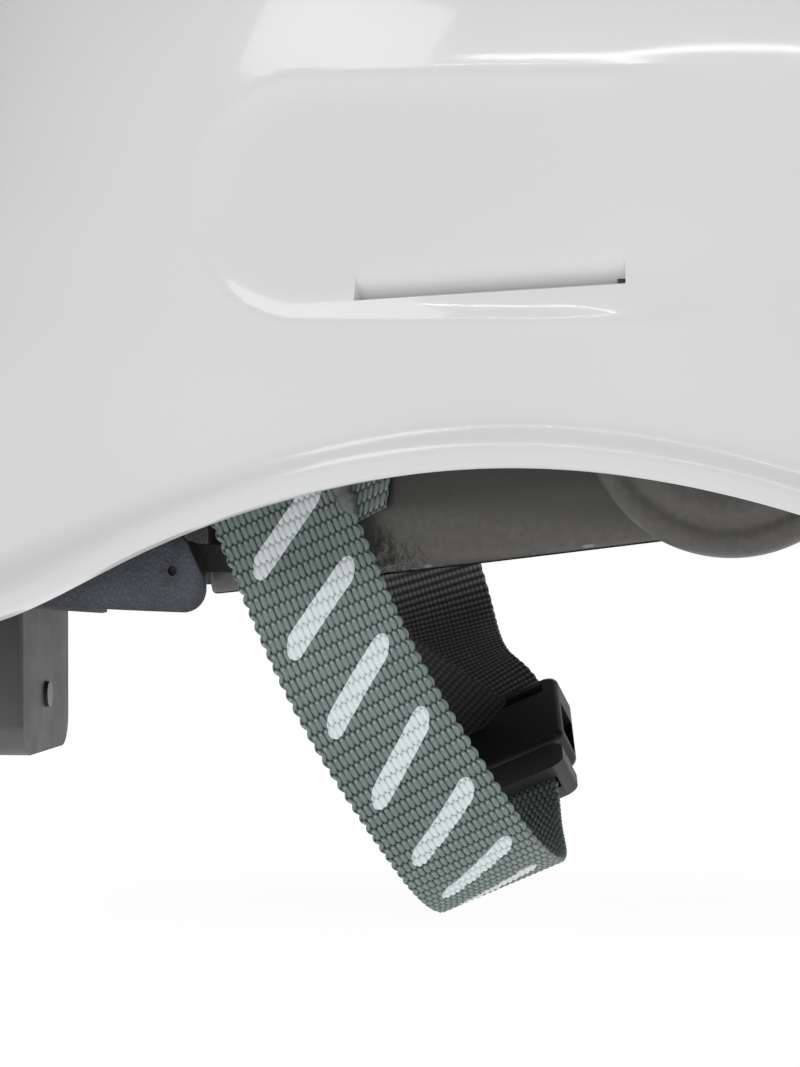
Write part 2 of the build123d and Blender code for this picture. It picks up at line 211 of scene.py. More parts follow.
def eva_look():
    """Foam with a moulded skin; its "web" attribute carries painted shade in Y and wrinkling in Z."""
    k = Look("foam_skin", 0.42, Specular_IOR_Level=0.55)
    web = k.node("ShaderNodeAttribute", attribute_name="web")
    parts = k.node("ShaderNodeSeparateXYZ")
    k.link(web, "Vector", parts, 0)
    base = k.ramp(k.noise(14, 2), "Fac", [(0.25, (0.072, 0.069, 0.064)), (0.75, (0.079, 0.076, 0.070))])
    fleck = k.ramp(k.noise(700, 2), "Fac", [(0.4, (0.8, 0.8, 0.8)), (0.65, (1.15, 1.15, 1.15))])
    tint = k.mix(None, 0.6, (base, 0), (fleck, 0), "MULTIPLY")
    worn = k.mix(k.edges(0.53, 0.64), 0, (tint, 2), (0.2, 0.195, 0.18))
    # Painted shade: the foam darkens towards the top, where the shell's rim shades it.
    k.link(k.mix(parts, "Y", (worn, 2), (0.03, 0.029, 0.027)), 2, k.b, "Base Color")
    k.rough(k.math("SUBTRACT", k.noise(60, 3), k.math("MULTIPLY", parts, 0.9, "Z")), "Value", 0.3, 0.5)
    k.bump(k.noise(1100, 2), "Fac", 0.00006, 0.4)
    crease = k.math("MULTIPLY", k.noise(620, 2.5, (1, 1, 0.6)), parts, 0, "Z")
    k.bump(crease, "Value", 0.0016, 0.9)
    return k.m


def knit_look():
    """Brushed knit over the comfort pads."""
    k = Look("brushed_knit", 0.85, Sheen_Weight=0.35, Sheen_Roughness=0.5)
    loops = k.voronoi(1500, "F1", (1, 1, 0.7))
    base = k.ramp(k.noise(40, 4), "Fac", [(0.3, (0.022, 0.022, 0.025)), (0.7, (0.05, 0.05, 0.054))])
    tint = k.mix(loops, "Distance", (base, 0), (0.09, 0.09, 0.094))
    k.link(tint, 2, k.b, "Base Color")
    k.bump(loops, "Distance", 0.00025, 0.8)
    k.bump(k.noise(300, 4), "Fac", 0.0004, 0.5)
    return k.m


def leather_look():
    """Grained leather, darker along its cut edges."""
    k = Look("leather_blue", 0.5, Specular_IOR_Level=0.45)
    grain = k.voronoi(900, "DISTANCE_TO_EDGE")
    base = k.ramp(k.noise(60, 5), "Fac", [(0.3, (0.058, 0.066, 0.082)), (0.72, (0.092, 0.104, 0.124))])
    creased = k.ramp(grain, "Distance", [(0.0, (0.55, 0.55, 0.55)), (0.16, (1, 1, 1))])
    tint = k.mix(None, 0.7, (base, 0), (creased, 0), "MULTIPLY")
    k.link(k.mix(k.edges(0.53, 0.62), 0, (tint, 2), (0.03, 0.03, 0.035)), 2, k.b, "Base Color")
    k.rough(k.noise(120, 4), "Fac", 0.4, 0.6)
    k.bump(grain, "Distance", 0.00022, 0.7)
    k.bump(k.noise(140, 4), "Fac", 0.0003, 0.4)
    return k.m


def web_look(name, dark, light, printed=False):
    """Webbing: painted highlights atop each float, near-black painted shade between; the print is slanted
    rounded bars.
    """
    k = Look(name, 0.72, Sheen_Weight=0.15, Sheen_Roughness=0.4, Specular_IOR_Level=0.4)
    web = k.node("ShaderNodeAttribute", attribute_name="web")
    parts = k.node("ShaderNodeSeparateXYZ")
    k.link(web, "Vector", parts, 0)
    # Colour by float height is painted light: near-black painted shade in the gaps, painted highlights
    # towards the tops.
    gap_painted_shade = tuple(0.16 * c for c in dark)
    upper = tuple(1.12 * c for c in light)
    tip = tuple(min(0.66, 3.0 * c) for c in light)
    yarn = k.ramp(parts, "Z", [(0.0, gap_painted_shade), (0.3, dark), (0.6, light), (0.78, upper), (0.9, tip)])
    vary = k.ramp(k.noise(55, 4), "Fac", [(0.3, (0.86, 0.86, 0.86)), (0.7, (1.1, 1.1, 1.1))])
    cloth = k.mix(None, 0.9, (yarn, 0), (vary, 0), "MULTIPLY")
    colour = (cloth, 2)
    if printed:
        slant = k.math("ADD", k.math("MULTIPLY", parts, PRINT_SLANT, "X"), parts, 0, "Y")
        along = k.math("PINGPONG", slant, PRINT_CYCLE / 2)
        past = k.math("MAXIMUM", k.math("SUBTRACT", k.math("ABSOLUTE", parts, 0, "X"), PRINT_HALF), 0)
        away = k.math("ADD", k.math("MULTIPLY", past, past), k.math("MULTIPLY", along, along))
        fray = k.math("MULTIPLY", k.noise(900, 2), 1.6)
        mask = k.math("LESS_THAN", k.math("ADD", away, fray), (PRINT_BAR / 2) ** 2 + 0.8)
        # The ink is painted with the same light: painted shade low on a float, painted highlight on its top.
        ink_stops = [(0.0, (0.30, 0.37, 0.37)), (0.35, (0.62, 0.69, 0.69)), (1.0, (0.80, 0.85, 0.85))]
        ink = k.ramp(parts, "Z", ink_stops)
        colour = (k.mix(mask, 0, colour, (ink, 0)), 2)
    k.link(colour[0], colour[1], k.b, "Base Color")
    k.bump(k.noise(2600, 2), "Fac", 0.00012, 0.6)
    return k.m


def metal_look():
    """Dull metal with a short brushed grain."""
    k = Look("dull_metal", 0.38, Metallic=1.0)
    base = k.ramp(k.noise(220, 4), "Fac", [(0.3, (0.32, 0.31, 0.30)), (0.7, (0.52, 0.51, 0.50))])
    k.link(base, 0, k.b, "Base Color")
    k.rough(k.noise(500, 3), "Fac", 0.28, 0.5)
    k.bump(k.noise(900, 3, (1, 8, 1)), "Fac", 0.00004, 0.5)
    return k.m


def clear_look():
    """Smoky, half-clear plastic."""
    k = Look("clear_clip", 0.36, Transmission_Weight=0.35, IOR=1.46)
    base = k.ramp(k.noise(420, 3), "Fac", [(0.3, (0.13, 0.135, 0.13)), (0.7, (0.24, 0.25, 0.24))])
    k.link(base, 0, k.b, "Base Color")
    k.rough(k.noise(300, 3), "Fac", 0.15, 0.35)
    k.bump(k.noise(400, 2), "Fac", 0.0001, 0.4)
    return k.m


# The printed bars, in millimetres: spacing along the strap, width, half-length across it; then their slant.
PRINT_CYCLE, PRINT_BAR, PRINT_HALF, PRINT_SLANT = 15.5, 4.6, 6.6, 0.62
# The grey-green yarn as a shaded and a lit tone, for the painted shade and light across each float.
GREEN_SHADED, GREEN_LIT = (0.055, 0.072, 0.068), (0.172, 0.218, 0.206)
SHELL = shell_look()
BEAD = bead_look()
EVA = eva_look()
KNIT = knit_look()
LEATHER = leather_look()
WEB_PRINT = web_look("webbing_grey_green", GREEN_SHADED, GREEN_LIT, True)
WEB_PLAIN = web_look("webbing_plain", GREEN_SHADED, GREEN_LIT)
WEB_BLACK = web_look("webbing_black", (0.022, 0.022, 0.023), (0.084, 0.083, 0.081))
# The tail's webbing: the black webbing darkened as painted shade, where it lies in shadow behind the near
# strap.
WEB_BLACK_SHADED = web_look("webbing_black_painted_shade", (0.006, 0.006, 0.006), (0.016, 0.015, 0.015))
METAL = metal_look()
CLEAR = clear_look()
NYLON = plastic_look("moulded_nylon", (0.012, 0.012, 0.013), (0.024, 0.024, 0.026), 0.34)
BAND = plastic_look("band_plastic", (0.02, 0.02, 0.022), (0.034, 0.034, 0.036), 0.5)

# ---------------------------------------------------------------- mesh helpers


def add(name, verts, faces, look, body, hides=(), web=None, sharp=38):
    """Makes a mesh from millimetre points and puts it on its body."""
    mesh = bpy.data.meshes.new(name)
    mesh.from_pydata((np.asarray(verts) * MM).tolist(), [], faces)
    mesh.polygons.foreach_set("use_smooth", np.ones(len(mesh.polygons), dtype=bool))
    mesh.set_sharp_from_angle(angle=math.radians(sharp))
    if web is not None:
        layer = mesh.attributes.new("web", "FLOAT_VECTOR", "POINT")
        layer.data.foreach_set("vector", np.asarray(web, dtype=np.float32).ravel())
    mesh.materials.append(look)
    obj = bpy.data.objects.new(name, mesh)
    bpy.context.scene.collection.objects.link(obj)
    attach(obj, body)
    if hides:
        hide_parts(*hides)
    return obj


def ease(a, b, x):
    """Smooth step from 0 at a to 1 at b."""
    t = np.clip((x - a) / (b - a), 0, 1)
    return t * t * (3 - 2 * t)


def grid_faces(rows, cols, close=False, flip=False):
    """Quads over a grid of points stored row by row."""
    i, j = np.meshgrid(np.arange(rows - 1), np.arange(cols if close else cols - 1), indexing="ij")
    k = (j + 1) % cols
    quads = np.stack([i * cols + j, i * cols + k, (i + 1) * cols + k, (i + 1) * cols + j], -1).reshape(-1, 4)
    return quads[:, ::-1] if flip else quads


def natural_cubic(t, p, s):
    """Natural cubic through the values p (N, D) at t (N), read at s."""
    n, h = len(t), np.diff(t)
    a, r = np.eye(n), np.zeros((n, p.shape[1]))
    for i in range(1, n - 1):
        a[i, i - 1:i + 2] = h[i - 1], 2 * (h[i - 1] + h[i]), h[i]
        r[i] = 6 * ((p[i + 1] - p[i]) / h[i] - (p[i] - p[i - 1]) / h[i - 1])
    m = np.linalg.solve(a, r)
    k = np.clip(np.searchsorted(t, s, side="right") - 1, 0, n - 2)
    u, v = (s - t[k])[:, None], (t[k + 1] - s)[:, None]
    hk = h[k][:, None]
    return (m[k] * v ** 3 + m[k + 1] * u ** 3) / (6 * hk) + (p[k] / hk - m[k] * hk / 6) * v + (
        p[k + 1] / hk - m[k + 1] * hk / 6) * u


def spline(points, samples):
    """A smooth line through points (N, D) by chord length; returns (samples, D)."""
    p = np.asarray(points, float)
    t = np.concatenate([[0], np.cumsum(np.linalg.norm(np.diff(p, axis=0), axis=1))])
    return natural_cubic(t, p, np.linspace(0, t[-1], samples))


# ---------------------------------------------------------------- the shell's form, as in the CAD

# Where the front and rear curves start, how far each reaches, the half-width and the dome's base height.
FRONT_X, REAR_X, FRONT_A, REAR_A, HALF_W, BASE = 10.0, -15.0, 118.0, 120.0, 106.0, 16.0
# (x, z) along the lower edge, rear to front.
RIM = np.array([(-150, -58), (-134, -58), (-112, -55), (-81, -42), (-50, -31), (-20, -25.5), (10, -26),
                (45, -34), (88, -43), (124, -30), (150, -27)], float)


def plan_y(x, inset=0.0):
    """Half-width of the shell's outline at x."""
    front = np.clip((x - FRONT_X) / (FRONT_A - inset), 0, 1)
    rear = np.clip((REAR_X - x) / (REAR_A - inset), 0, 1)
    return (HALF_W - inset) * np.sqrt(1 - np.maximum(front, rear) ** 2)


def rim_z(x):
    """Height of the shell's rim at x."""
    return natural_cubic(RIM[:, 0], RIM[:, 1:], np.asarray(x, float))[:, 0]


PANEL = (-14.0, 23.0, 54.0, 22.0, 21.0)  # centre x, z, half-length, half-height, corner radius
PANEL_DEPTH, BEVEL_W = 2.3, 9.5
SCOOP_X = (-37.2, 11.6)  # the louvre's ends
SCOOP_REACH, SCOOP_DEPTH, SCOOP_CURVE = 5.6, 3.4, 2.1
THICK, FLARE, EDGE_R = 3.5, 2.4, 1.3  # wall, outward flare at the rim, rounding of the rim's edge
VENTS = [(x, y) for x in (-46.0, 40.0) for y in (-27.0, 27.0)]
VENT_HALF, VENT_R = 12.5, 4.5
SNAP = 0.95  # points this close to a vent's outline move onto it
LIP_STEP = 0.24  # the gap between the rows of points on either side of the lip


def lip_z(x):
    """The louvre's lower lip climbs gently towards the front."""
    return 6.0 + (np.clip(x, -50, 25) + 14) * 0.062


def panel_sdf(x, z):
    """Signed distance to the side panel's outline."""
    cx, cz, hl, hh, r = PANEL
    qx, qz = np.abs(x - cx) - (hl - r), np.abs(z - cz) - (hh - r)
    return np.hypot(np.maximum(qx, 0), np.maximum(qz, 0)) + np.minimum(np.maximum(qx, qz), 0) - r


def side_depth(x, z):
    """How far the side surface is sunk: the panel's broad bevel, and the scoop above the lip."""
    d = -panel_sdf(x, z)
    fade = 1 - ease(0, 34, x)
    bevel = np.sin(np.clip(d / BEVEL_W, 0, 1) * math.pi / 2) ** 0.9
    soft = 0.12 * np.exp(-((d - 0.3) / 0.9) ** 2)
    panel = (PANEL_DEPTH * np.where(d > 0, bevel, 0) - soft) * fade
    rise = (z - lip_z(x)) / SCOOP_REACH
    in_scoop = (x > SCOOP_X[0]) & (x < SCOOP_X[1]) & (rise > 0.01)
    scoop = np.where(in_scoop, (1 - np.clip(rise, 0, 1)) ** SCOOP_CURVE, 0)
    return panel + SCOOP_DEPTH * scoop


def vent_sdf(x, y):
    """Signed distance to the nearest crown vent's outline, with its gradient."""
    best, gx, gy = np.full(x.shape, 1e9), np.zeros(x.shape), np.zeros(x.shape)
    for vx, vy in VENTS:
        dx = x - np.clip(x, vx - VENT_HALF, vx + VENT_HALF)
        dy = y - vy
        length = np.maximum(np.hypot(dx, dy), 1e-9)
        near = length - VENT_R < best
        best = np.where(near, length - VENT_R, best)
        gx, gy = np.where(near, dx / length, gx), np.where(near, dy / length, gy)
    return best, gx, gy


def shell_columns():
    """Stations from the front tip to the rear tip, closer together along the side."""
    t = np.linspace(0, 1, 150)
    front = FRONT_X + FRONT_A * np.cos(t * math.pi / 2)
    barrel = np.linspace(FRONT_X, REAR_X, 26)[1:-1]
    rear = REAR_X - REAR_A * np.sin(t * math.pi / 2)
    ends = [e + s for e in SCOOP_X for s in (-0.12, 0.12)]
    x = np.concatenate([front, barrel, rear, ends])
    x = np.array(sorted(set(np.round(x, 4)), reverse=True))
    keep = np.ones(len(x), bool)
    for e in ends:
        keep &= ~((np.abs(x - e) < 0.35) & ~np.isin(x, np.round(ends, 4)))
    return x[keep]


def shell_rows(x):
    """Rows of points from the right rim over the dome to the left rim: (across, up, height); the height is
    None on the dome."""
    rim, lip = rim_z(x), lip_z(x)
    near_rim = np.array([0, 0.1, 0.3, 0.6, 0.95, 1.4, 2.0, 2.7, 3.5, 4.3]) / 40
    low = np.concatenate([near_rim, np.linspace(0.13, 1, 30)])
    high = np.linspace(0, 1, 13)
    wall = [rim + (lip - rim) * w for w in low]
    wall += [(lip + LIP_STEP) + (BASE - lip - LIP_STEP) * w for w in high]
    sides = np.linspace(0, 18, 30)[1:], np.linspace(162, 180, 30)[:-1]
    turn = np.concatenate([sides[0], np.linspace(18, 162, 150)[1:-1], sides[1]])
    rows = []
    for z in wall:
        rows.append((-np.ones(len(x)), np.zeros(len(x)), z))
    for a in np.radians(turn):
        rows.append((-np.full(len(x), math.cos(a)), np.full(len(x), math.sin(a)), None))
    for z in wall[::-1]:
        rows.append((np.ones(len(x)), np.zeros(len(x)), z))
    return rows


def hole_edges(quads):
    """The edges that only one of these quads has."""
    edges = {}
    for q in quads:
        for a, b in zip(q, np.roll(q, -1)):
            key = (min(a, b), max(a, b))
            if key in edges:
                edges.pop(key)
            else:
                edges[key] = (a, b)
    return list(edges.values())


def shell():
    """The outer skin and its inside, joined around the rim and the crown vents."""
    x = shell_columns()
    rim, rows = rim_z(x), shell_rows(x)
    count = len(rows)
    behind = np.where(x < REAR_X, (x - REAR_X) / REAR_A ** 2, 0)
    nx = np.where(x > FRONT_X, (x - FRONT_X) / FRONT_A ** 2, behind)
    nr = plan_y(x) / HALF_W ** 2
    size = np.hypot(nx, nr)
    nx, nr = nx / size, nr / size
    outer, inner = np.zeros((count, len(x), 3)), np.zeros((count, len(x), 3))
    holes = np.zeros((count, len(x)))
    for i, (cy, cz, z) in enumerate(rows):
        px = x.copy()
        if z is None:
            y = cy * plan_y(px)
            d, gx, gy = vent_sdf(px, y)
            top = cz > 0.7
            near = top & (np.abs(d) < SNAP)
            px = np.where(near, px - gx * d, px)
            y = np.where(near, y - gy * d, y)
            r = plan_y(px)
            zz = BASE + np.sqrt(np.maximum(r ** 2 - y ** 2, 0))
            holes[i] = np.where(top, np.where(near, 0, d), 9)
            safe = np.maximum(r, 1e-6)
            cy2 = np.where(r > 1e-6, y / safe, cy)
            cz2 = np.where(r > 1e-6, (zz - BASE) / safe, cz)
        else:
            y, zz = cy * plan_y(px), z
            holes[i] = 9
            cy2, cz2 = cy, cz
        n = np.stack([nx, nr * cy2, nr * cz2], -1)
        n /= np.linalg.norm(n, axis=1)[:, None]
        p = np.stack([px, y, zz], -1)
        above = zz - rim
        on_wall = 0.0 if z is None else 1.0
        reach = 8.2 + 2.6 * ease(-60, -110, px)
        swell = FLARE * (1 - ease(3.6, reach, above)) * on_wall
        lower = np.clip(EDGE_R - above, 0, EDGE_R)
        round_off = (EDGE_R - np.sqrt(np.maximum(EDGE_R ** 2 - lower ** 2, 0))) * on_wall
        on_side = np.abs(y) > 45
        sunk = np.where(on_side, side_depth(px, zz), 0)
        rim_in = np.maximum(0, 0.8 - above) * on_wall * 0.6
        outer[i] = p + n * (swell - round_off - sunk)[:, None]
        inner[i] = p - n * (np.maximum(THICK, sunk + 0.8) - swell * 0.7 - rim_in)[:, None]
    cols = len(x)
    quads = grid_faces(count, cols)
    centre = holes.ravel()[quads].mean(1)
    inside = (centre < 0) & (holes.ravel()[quads].max(1) <= 1e-6)
    kept = quads[~inside]
    total = count * cols
    hole_walls = np.array([(b + total, a + total, a, b) for a, b in hole_edges(quads[inside])])
    first = np.array([(j + 1, j, j + total, j + 1 + total) for j in range(cols - 1)])
    end = (count - 1) * cols
    last = np.array([(end + j, end + j + 1, end + j + 1 + total, end + j + total) for j in range(cols - 1)])
    faces = np.concatenate([kept, kept[:, ::-1] + total, hole_walls, first, last])
    points = np.concatenate([outer.reshape(-1, 3), inner.reshape(-1, 3)])
    clean(add("shell_skin", points, faces.tolist(), SHELL, "helmet", ("outer_shell",),
              sharp=32))


def clean(obj, gap=1e-6):
    """Merges coincident points, drops faces with no area and turns the normals outward."""
    bm = bmesh.new()
    bm.from_mesh(obj.data)
    bmesh.ops.remove_doubles(bm, verts=bm.verts, dist=gap)
    bmesh.ops.dissolve_degenerate(bm, edges=bm.edges, dist=gap)
    bmesh.ops.recalc_face_normals(bm, faces=bm.faces)
    loose = [v for v in bm.verts if not v.link_faces]
    bmesh.ops.delete(bm, geom=loose, context="VERTS")
    bm.to_mesh(obj.data)
    bm.free()


shell()

# ---------------------------------------------------------------- webbing


EDGE_LOOP = 2.6  # the spacing of the loops along a strap's edge
FLOAT_PITCH, FLOAT_ROW = 1.15, 2.6
RIB_PITCH, RIB_ROW = 0.9, 1.7


def floats(u, v):
    """Height of a weave of long oval floats, each row set half a float across from the last: 0 in the gaps,
    1 at the knuckle where a float comes up."""
    best = np.zeros(np.broadcast(u, v).shape)
    for shift in (0.0, 0.5):
        du = ((u / FLOAT_PITCH + shift + 0.5) % 1 - 0.5) * FLOAT_PITCH
        dv = ((v / (2 * FLOAT_ROW) + shift + 0.5) % 1 - 0.5) * 2 * FLOAT_ROW
        oval = np.maximum(1 - np.abs(du / 0.6) ** 2.3 - np.abs(dv / 1.42) ** 3.2, 0) ** 0.5
        knuckle = np.exp(-((dv + 1.0) / 0.26) ** 2 - (du / 0.36) ** 2)
        best = np.maximum(best, 0.76 * oval + 0.26 * knuckle)
    return best


def ribs(u, v):
    """Height of ribbed webbing: strong cross rows, faint columns."""
    rows = np.abs(np.sin(math.pi * v / RIB_ROW)) ** 0.7
    return 0.75 * rows + 0.25 * np.abs(np.sin(math.pi * u / RIB_PITCH))


STEP, ACROSS = 0.26, 0.17  # spacing of a strap's points along it and across it


def webbing(name, points, width, thick, look, body, hides, height=floats, relief=0.7, square=True,
            scallop=0.25):
    """A woven strip along points of (x, y, z, width direction x, y, z), with raised yarns and scalloped
    edges."""
    fine = spline(points, 400)
    length = np.concatenate([[0], np.cumsum(np.linalg.norm(np.diff(fine[:, :3], axis=0), axis=1))])
    count = max(8, int(length[-1] / STEP))
    s = np.linspace(0, length[-1], count)
    line = np.stack([np.interp(s, length, fine[:, c]) for c in range(6)], -1)
    centre, w = line[:, :3], line[:, 3:]
    tangent = np.gradient(centre, axis=0)
    tangent /= np.linalg.norm(tangent, axis=1)[:, None]
    if square:
        w -= tangent * (w * tangent).sum(1)[:, None]
    w /= np.linalg.norm(w, axis=1)[:, None]
    n = np.cross(tangent, w)
    n /= np.linalg.norm(n, axis=1)[:, None]
    cols = int(width / ACROSS) | 1
    u = np.linspace(-width / 2, width / 2, cols)
    lift = height(u[None, :], s[:, None])
    back = height(u[None, :] + 0.4, s[:, None] + 0.7)
    edge = np.abs(u) / (width / 2)
    thin = np.sqrt(np.clip(1 - np.clip((edge - 0.955) / 0.045, 0, 1) ** 2, 0.04, 1))[None, :]
    loop_at = s[:, None] / EDGE_LOOP + 0.5 * (u[None, :] > 0)
    wave = (np.abs(np.sin(math.pi * loop_at)) ** 0.7 - 0.7) * scallop / (width / 2)
    spread = 1 + wave * ease(0.86, 0.96, edge)[None, :]
    top = (thick / 2 - relief * (1 - lift)) * thin
    bottom = -(thick / 2 - relief * (1 - back)) * thin
    base = centre[:, None, :] + w[:, None, :] * (u[None, :] * spread)[:, :, None]
    front_side = base + n[:, None, :] * top[:, :, None]
    back_side = base + n[:, None, :] * bottom[:, :, None]
    ring_pts = np.concatenate([front_side, back_side[:, ::-1]], 1)
    quads = grid_faces(count, 2 * cols, close=True)
    caps = []
    for i, turned in ((0, False), (count - 1, True)):
        o = i * 2 * cols
        for j in range(cols - 1):
            q = (o + j, o + j + 1, o + 2 * cols - 2 - j, o + 2 * cols - 1 - j)
            caps.append(q if turned else q[::-1])
    attr = np.zeros(ring_pts.shape)
    attr[:, :cols, 0] = u[None, :]
    attr[:, cols:, 0] = 99.0 if look is WEB_PRINT else u[None, ::-1]
    attr[:, :, 1] = s[:, None]
    # Z carries the float height, which the webbing looks turn into painted shade and highlights.
    attr[:, :cols, 2] = lift
    attr[:, cols:, 2] = back[:, ::-1]
    faces = np.concatenate([quads, np.array(caps)])
    add(name, ring_pts.reshape(-1, 3), faces.tolist(), look, body, hides, attr.reshape(-1, 3), sharp=80)


LEAN = math.radians(23.5)  # the loop's lean about the rivet line
PIVOT = (-62.0, -13.65)  # the rivet line's x and z
# The loop's half-width, the drop of its corners, and where its lowest point is.
STRAP_Y, DROP, LOW_Y, LOW_DROP = 85.7, 50.0, 4.0, 90.0
RISE = math.atan2(LOW_DROP - DROP, STRAP_Y - LOW_Y)


def leaned(across_x, y, z):
    """A point drawn on the upright loop, leaned forward about the rivet line."""
    return (PIVOT[0] + across_x * math.cos(LEAN) - z * math.sin(LEAN), y,
            PIVOT[1] + across_x * math.sin(LEAN) + z * math.cos(LEAN))


def up_left(distance):
    """A point up the left-hand strap from the loop's lowest point, as (y, z)."""
    return (LOW_Y + math.cos(RISE) * distance, -LOW_DROP + math.sin(RISE) * distance)


def loop_points(flat):
    """Points of (y, z), (y, z, forward shift) or (y, z, shift, tilt of the width) on the upright loop."""
    made = []
    for p in flat:
        shift = p[2] if len(p) > 2 else 0
        tilt = math.radians(p[3]) if len(p) > 3 else LEAN
        made.append((*(np.array(leaned(0, p[0], p[1])) + (shift, 0, 0)), math.cos(tilt), 0.0, math.sin(tilt)))
    return made


STRAP_W, LEG_W = 25.0, 16.0
RIGHT = [(-STRAP_Y, 6), (-STRAP_Y, -10), (-STRAP_Y, -30), (-STRAP_Y, -46.8), (-84, -62, 1), (-79, -78, 3),
         (-68, -91, 4), (-52, -97.5, 4), (-34, -98.5, 3), (-14, -95, 1), (LOW_Y, -LOW_DROP), up_left(7.5)]
LEFT = [(STRAP_Y, 6), (STRAP_Y, -12, -3, 21), (STRAP_Y, -30, -7, 14), (STRAP_Y - 0.2, -DROP + 3, -9.5, 9),
        (*up_left(84), -9.5, 9), (*up_left(72), -8.5, 11), (*up_left(60), -6, 15), (*up_left(50), -2, 21),
        up_left(40)]
TAIL_WIDE = (0.67, 0, 0.74)
TAIL = [(-37.6, 32.0, -83.6), (-42.5, 24.0, -79.0), (-49.5, 14.0, -72.6), (-54.5, 7.0, -68.0)]
webbing("web_right", loop_points(RIGHT), STRAP_W, 1.6, WEB_PRINT, "chin_strap",
        ("chin_web_right",), scallop=0.7)
webbing("web_left", loop_points(LEFT), STRAP_W, 1.5, WEB_BLACK, "chin_strap",
        ("chin_web_left",), ribs, 0.35)
# The tail wears the painted-shade copy of the black webbing.
webbing("web_tail_end", [(*p, *TAIL_WIDE) for p in TAIL], STRAP_W, 1.5, WEB_BLACK_SHADED, "buckle_socket",
        ("web_tail",), ribs, 0.35)


def leg(side, tag, look, height):
    """The short second strap beside the ear, on the helmet's body."""
    low = np.array([-41.4, side * 83.9, -36.3])
    up = np.array([0.12, 0, 0.99])
    wide = (math.cos(math.radians(27)), 0, math.sin(math.radians(27)))
    points = [(*(low + up * d), *wide) for d in (0, 7, 14, 22)]
    webbing("leg_" + tag, points, LEG_W, 1.2, look, "helmet", ("strap_leg_" + tag,), height, 0.45,
            square=False)


leg(-1, "right", WEB_PLAIN, floats)
leg(1, "left", WEB_BLACK, ribs)


def keeper(side, tag):
    """A slim clear sleeve hugging the webbing's front edge where the two straps part."""
    rows, cols = 41, 28
    t = np.linspace(-1, 1, rows)
    a = np.linspace(0, 2 * math.pi, cols, endpoint=False)
    pts = np.zeros((rows, cols, 3))
    for i, ti in enumerate(t):
        size = (1 - abs(ti) ** 2.6) ** 0.5 + 0.02
        ripple = 1 + 0.06 * math.sin(ti * 17)
        across_x = 11.9 + 1.75 * size * ripple * np.cos(a)
        out = side * (STRAP_Y + 1.45 * (0.55 + 0.45 * size) * np.sin(a))
        at = np.array(leaned(0, 0, -22.5 + 4.7 * ti))
        pts[i] = np.stack([at[0] + across_x * math.cos(LEAN), out, at[2] + across_x * math.sin(LEAN)], -1)
    quads = grid_faces(rows, cols, close=True, flip=side > 0).tolist()
    caps = [list(range(cols)), list(range((rows - 1) * cols, rows * cols))]
    clean(add("keeper_sleeve_" + tag, pts.reshape(-1, 3), quads + caps, CLEAR, "chin_strap",
              ("strap_keeper_" + tag,), sharp=60))


keeper(-1, "right")
keeper(1, "left")

# ---------------------------------------------------------------- foam beside the ears


def rounded_section(count, power=5.0):
    """Points around a rounded square, from -1 to 1."""
    a = np.linspace(0, 2 * math.pi, count, endpoint=False)
    c, s = np.cos(a), np.sin(a)
    return np.sign(c) * np.abs(c) ** (2 / power), np.sign(s) * np.abs(s) ** (2 / power)


FOAM_TOP = -3.6


def foam_low(x):
    """The foam's lower edge, which climbs towards the front."""
    return -49.5 + (x + 70) * 11 / 87


def side_foam(side, tag):
    """The smooth foam block: follows the shell's plan, with soft corners and creases in its skin."""
    rows, cols = 170, 132
    t = np.linspace(-1, 1, rows)
    x = -26.5 + 43.5 * np.sign(t) * (1 - (1 - np.abs(t)) ** 1.25)
    a, b = rounded_section(cols)
    end = np.sqrt(np.clip(1 - np.clip((np.abs(t) - 0.93) / 0.07, 0, 1) ** 2, 0, 1))
    pts = np.zeros((rows, cols, 3))
    for i, xi in enumerate(x):
        low, high = foam_low(xi), FOAM_TOP
        y_out, y_in = plan_y(xi, 22.2), plan_y(xi, 30.8)
        shrink = 0.72 + 0.28 * end[i]
        y = (y_out + y_in) / 2 + a * (y_out - y_in) / 2 * shrink
        z = (low + high) / 2 + b * (high - low) / 2 * (0.93 + 0.07 * end[i])
        pts[i] = np.stack([np.full(cols, xi), y, z], -1)
    patch = np.exp(-((pts[..., 0] + 33) / 8) ** 2 - ((pts[..., 2] + 43) / 5) ** 2)
    wave = np.sin(pts[..., 0] * 1.7 + 1.6 * np.sin(pts[..., 2] * 0.8))
    wave = wave * np.sin(pts[..., 2] * 1.5 + 0.9 * pts[..., 0])
    bevel_h = 11.5
    bevel = 2.6 * np.clip((foam_low(pts[..., 0]) + bevel_h - pts[..., 2]) / bevel_h, 0, 1) ** 1.15
    pts[..., 1] += (0.3 * patch * wave - bevel) * (a > 0.2)[None, :]
    pts[..., 1] *= side
    quads = grid_faces(rows, cols, close=True, flip=side < 0)
    caps = [list(range(cols)), list(range((rows - 1) * cols, rows * cols))]
    faces = quads.tolist() + caps
    painted_shade_and_wrinkle = np.zeros(pts.shape)
    # Y is painted shade, strongest on the upper foam under the shell's rim; Z marks the wrinkled patch.
    painted_shade_and_wrinkle[..., 1] = 0.8 * ease(-37, -31, pts[..., 2] + 0.04 * (pts[..., 0] + 20))
    painted_shade_and_wrinkle[..., 2] = patch
    obj = add("ear_foam_" + tag, pts.reshape(-1, 3), faces, EVA, "helmet",
              ("side_liner_" + tag,), painted_shade_and_wrinkle.reshape(-1, 3), sharp=60)
    clean(obj)


